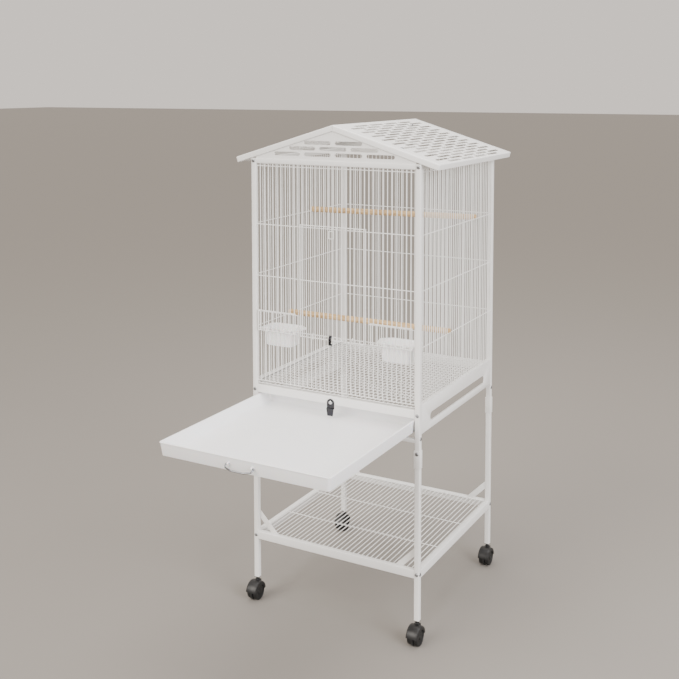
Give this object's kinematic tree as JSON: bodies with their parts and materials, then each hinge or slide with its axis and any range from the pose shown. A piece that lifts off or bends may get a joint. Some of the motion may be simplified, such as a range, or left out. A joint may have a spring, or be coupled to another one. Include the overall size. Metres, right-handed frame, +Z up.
{
  "type": "bird cage on stand",
  "caption": "Tall wire bird cage with a slotted gable roof, pull-out tray and lower shelf, on legs with swivel casters.",
  "frame": {"origin": "on the floor, at the centre of the four corner posts", "axes": "+Z up, -Y towards the front with the door and the drawn-out tray, +X to the right seen from the front"},
  "size_m": [0.5504, 0.9031, 1.2118],
  "materials": {
    "white_powder_coat": "satin",
    "tray_plastic": "satin",
    "bowl_plastic": "satin",
    "perch_wood": "plain",
    "caster_plastic": "matte",
    "bright_chrome": "polished",
    "plated_steel": "satin",
    "screw_steel": "satin"
  },
  "bodies": {
    "cage_and_stand": {"bottom_rail_front": "white_powder_coat", "bottom_rail_rear": "white_powder_coat", "cage_screws": "screw_steel", "caster_sockets": "caster_plastic", "door_hinge_links": "white_powder_coat", "front_panel": "white_powder_coat", "gable_front": "white_powder_coat", "gable_rear": "white_powder_coat", "grate_runners": "white_powder_coat", "joint_sleeves": "white_powder_coat", "latch_rivet": "plated_steel", "left_panel": "white_powder_coat", "leg_front_left": "white_powder_coat", "leg_front_right": "white_powder_coat", "leg_rear_left": "white_powder_coat", "leg_rear_right": "white_powder_coat", "leg_screws": "screw_steel", "post_front_left": "white_powder_coat", "post_front_right": "white_powder_coat", "post_rear_left": "white_powder_coat", "post_rear_right": "white_powder_coat", "rear_panel": "white_powder_coat", "right_panel": "white_powder_coat", "roof_left": "white_powder_coat", "roof_right": "white_powder_coat", "shelf_braces": "white_powder_coat", "shelf_rail_front": "white_powder_coat", "shelf_rail_left": "white_powder_coat", "shelf_rail_rear": "white_powder_coat", "shelf_rail_right": "white_powder_coat", "shelf_wires": "white_powder_coat", "side_skirt_left": "white_powder_coat", "side_skirt_right": "white_powder_coat", "top_rail_front": "white_powder_coat", "top_rail_left": "white_powder_coat", "top_rail_rear": "white_powder_coat", "top_rail_right": "white_powder_coat", "tray_cross_bar": "white_powder_coat"},
    "tray": {"tray": "tray_plastic", "handle_eyes": "tray_plastic"},
    "tray_handle": {"tray_handle": "bright_chrome"},
    "floor_grate": {"floor_grate": "white_powder_coat"},
    "front_door": {"front_door": "white_powder_coat"},
    "door_latch": {"door_latch": "white_powder_coat"},
    "door_clip": {"door_clip": "plated_steel"},
    "feeder_door_left": {"feeder_door_left": "white_powder_coat"},
    "feeder_door_right": {"feeder_door_right": "white_powder_coat"},
    "feeder_bowl_left": {"feeder_bowl_left": "bowl_plastic"},
    "feeder_bowl_right": {"feeder_bowl_right": "bowl_plastic"},
    "perch_upper": {"perch_upper": "perch_wood"},
    "perch_lower": {"perch_lower": "perch_wood"},
    "tray_latch": {"tray_latch": "plated_steel"},
    "caster_front_left": {"caster_hood_front_left": "caster_plastic"},
    "wheels_front_left": {"caster_wheels_front_left": "caster_plastic"},
    "caster_front_right": {"caster_hood_front_right": "caster_plastic"},
    "wheels_front_right": {"caster_wheels_front_right": "caster_plastic"},
    "caster_rear_left": {"caster_hood_rear_left": "caster_plastic"},
    "wheels_rear_left": {"caster_wheels_rear_left": "caster_plastic"},
    "caster_rear_right": {"caster_hood_rear_right": "caster_plastic"},
    "wheels_rear_right": {"caster_wheels_rear_right": "caster_plastic"}
  },
  "joints": [
    {"name": "tray_slide", "type": "slide", "parent": "cage_and_stand", "child": "tray", "axis": [0, -1, 0], "range_m": [-0.383, 0.045]},
    {"name": "tray_handle_swing", "type": "hinge", "parent": "tray", "child": "tray_handle", "pos_m": [0, -0.64045, 0.518], "axis": [-1, 0, 0], "range_deg": [-50, 100]},
    {"name": "floor_grate_slide", "type": "slide", "parent": "cage_and_stand", "child": "floor_grate", "axis": [0, -1, 0], "range_m": [0, 0.3]},
    {"name": "front_door_drop", "type": "hinge", "parent": "cage_and_stand", "child": "front_door", "pos_m": [0, -0.2398, 0.6951], "axis": [1, 0, 0], "range_deg": [0, 115]},
    {"name": "door_latch_flip", "type": "hinge", "parent": "front_door", "child": "door_latch", "pos_m": [-0.002, -0.2423, 0.959], "axis": [-1, 0, 0], "range_deg": [0, 150]},
    {"name": "door_clip_swing", "type": "hinge", "parent": "cage_and_stand", "child": "door_clip", "pos_m": [-0.006, -0.237, 0.702], "axis": [-1, 0, 0], "range_deg": [0, 60]},
    {"name": "feeder_door_left_lift", "type": "slide", "parent": "cage_and_stand", "child": "feeder_door_left", "axis": [0, 0, 1], "range_m": [0, 0.042]},
    {"name": "feeder_bowl_left_lift", "type": "slide", "parent": "cage_and_stand", "child": "feeder_bowl_left", "axis": [0, 0, 1], "range_m": [0, 0.035]},
    {"name": "feeder_door_right_lift", "type": "slide", "parent": "cage_and_stand", "child": "feeder_door_right", "axis": [0, 0, 1], "range_m": [0, 0.042]},
    {"name": "feeder_bowl_right_lift", "type": "slide", "parent": "cage_and_stand", "child": "feeder_bowl_right", "axis": [0, 0, 1], "range_m": [0, 0.035]},
    {"name": "perch_upper_lift", "type": "slide", "parent": "cage_and_stand", "child": "perch_upper", "axis": [0, 0, 1], "range_m": [0, 0.02]},
    {"name": "perch_lower_lift", "type": "slide", "parent": "cage_and_stand", "child": "perch_lower", "axis": [0, 0, 1], "range_m": [0, 0.02]},
    {"name": "tray_latch_turn", "type": "hinge", "parent": "cage_and_stand", "child": "tray_latch", "pos_m": [-0.005, -0.2409, 0.5428], "axis": [0, 1, 0], "range_deg": [-90, 90]},
    {"name": "caster_swivel_front_left", "type": "hinge", "parent": "cage_and_stand", "child": "caster_front_left", "pos_m": [-0.22215, -0.23365, 0.06], "axis": [0, 0, 1], "continuous": true},
    {"name": "caster_roll_front_left", "type": "hinge", "parent": "caster_front_left", "child": "wheels_front_left", "pos_m": [-0.22215, -0.24365, 0.021], "axis": [1, 0, 0], "continuous": true},
    {"name": "caster_swivel_front_right", "type": "hinge", "parent": "cage_and_stand", "child": "caster_front_right", "pos_m": [0.22215, -0.23365, 0.06], "axis": [0, 0, 1], "continuous": true},
    {"name": "caster_roll_front_right", "type": "hinge", "parent": "caster_front_right", "child": "wheels_front_right", "pos_m": [0.22215, -0.24365, 0.021], "axis": [1, 0, 0], "continuous": true},
    {"name": "caster_swivel_rear_left", "type": "hinge", "parent": "cage_and_stand", "child": "caster_rear_left", "pos_m": [-0.22215, 0.23365, 0.06], "axis": [0, 0, 1], "continuous": true},
    {"name": "caster_roll_rear_left", "type": "hinge", "parent": "caster_rear_left", "child": "wheels_rear_left", "pos_m": [-0.22215, 0.22365, 0.021], "axis": [1, 0, 0], "continuous": true},
    {"name": "caster_swivel_rear_right", "type": "hinge", "parent": "cage_and_stand", "child": "caster_rear_right", "pos_m": [0.22215, 0.23365, 0.06], "axis": [0, 0, 1], "continuous": true},
    {"name": "caster_roll_rear_right", "type": "hinge", "parent": "caster_rear_right", "child": "wheels_rear_right", "pos_m": [0.22215, 0.22365, 0.021], "axis": [1, 0, 0], "continuous": true}
  ]
}
